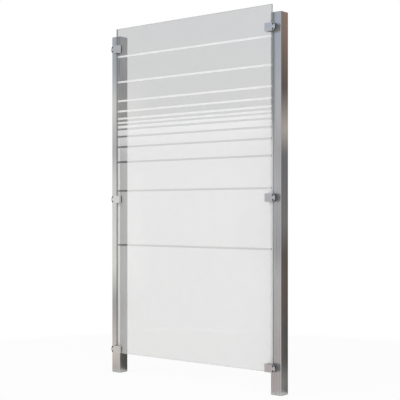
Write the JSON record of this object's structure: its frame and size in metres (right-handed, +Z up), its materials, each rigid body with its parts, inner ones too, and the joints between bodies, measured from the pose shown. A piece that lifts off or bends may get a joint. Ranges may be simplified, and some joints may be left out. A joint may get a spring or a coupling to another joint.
{
  "type": "glass screen panel",
  "caption": "Tall glass screen panel: a pane with etched stripes that thicken downwards, held in front of square steel posts by D-shaped clamps.",
  "frame": {"origin": "ground level, in the middle of the panel's own box, between the two posts", "axes": "+Z up along the posts, X along the panel, -Y towards the face that carries the pane"},
  "size_m": [1.126, 0.086, 1.87],
  "materials": {
    "etched_glass": "clear toughened glass with satin etched stripes",
    "brushed_post_steel": "stainless steel with an upright grain",
    "satin_clamp_steel": "satin stainless steel",
    "pad_rubber": "matt grey rubber",
    "screw_steel": "blackened steel"
  },
  "bodies": {
    "root": {"glass_pane": "etched_glass", "post_left": "brushed_post_steel", "post_cap_left": "brushed_post_steel", "clamp_base_left_top": "satin_clamp_steel", "clamp_cover_left_top": "satin_clamp_steel", "clamp_pad_back_left_top": "pad_rubber", "clamp_pad_front_left_top": "pad_rubber", "clamp_base_left_middle": "satin_clamp_steel", "clamp_cover_left_middle": "satin_clamp_steel", "clamp_pad_back_left_middle": "pad_rubber", "clamp_pad_front_left_middle": "pad_rubber", "clamp_base_left_bottom": "satin_clamp_steel", "clamp_cover_left_bottom": "satin_clamp_steel", "clamp_pad_back_left_bottom": "pad_rubber", "clamp_pad_front_left_bottom": "pad_rubber", "post_right": "brushed_post_steel", "post_cap_right": "brushed_post_steel", "clamp_base_right_top": "satin_clamp_steel", "clamp_cover_right_top": "satin_clamp_steel", "clamp_pad_back_right_top": "pad_rubber", "clamp_pad_front_right_top": "pad_rubber", "clamp_base_right_middle": "satin_clamp_steel", "clamp_cover_right_middle": "satin_clamp_steel", "clamp_pad_back_right_middle": "pad_rubber", "clamp_pad_front_right_middle": "pad_rubber", "clamp_base_right_bottom": "satin_clamp_steel", "clamp_cover_right_bottom": "satin_clamp_steel", "clamp_pad_back_right_bottom": "pad_rubber", "clamp_pad_front_right_bottom": "pad_rubber"}
  },
  "joints": []
}
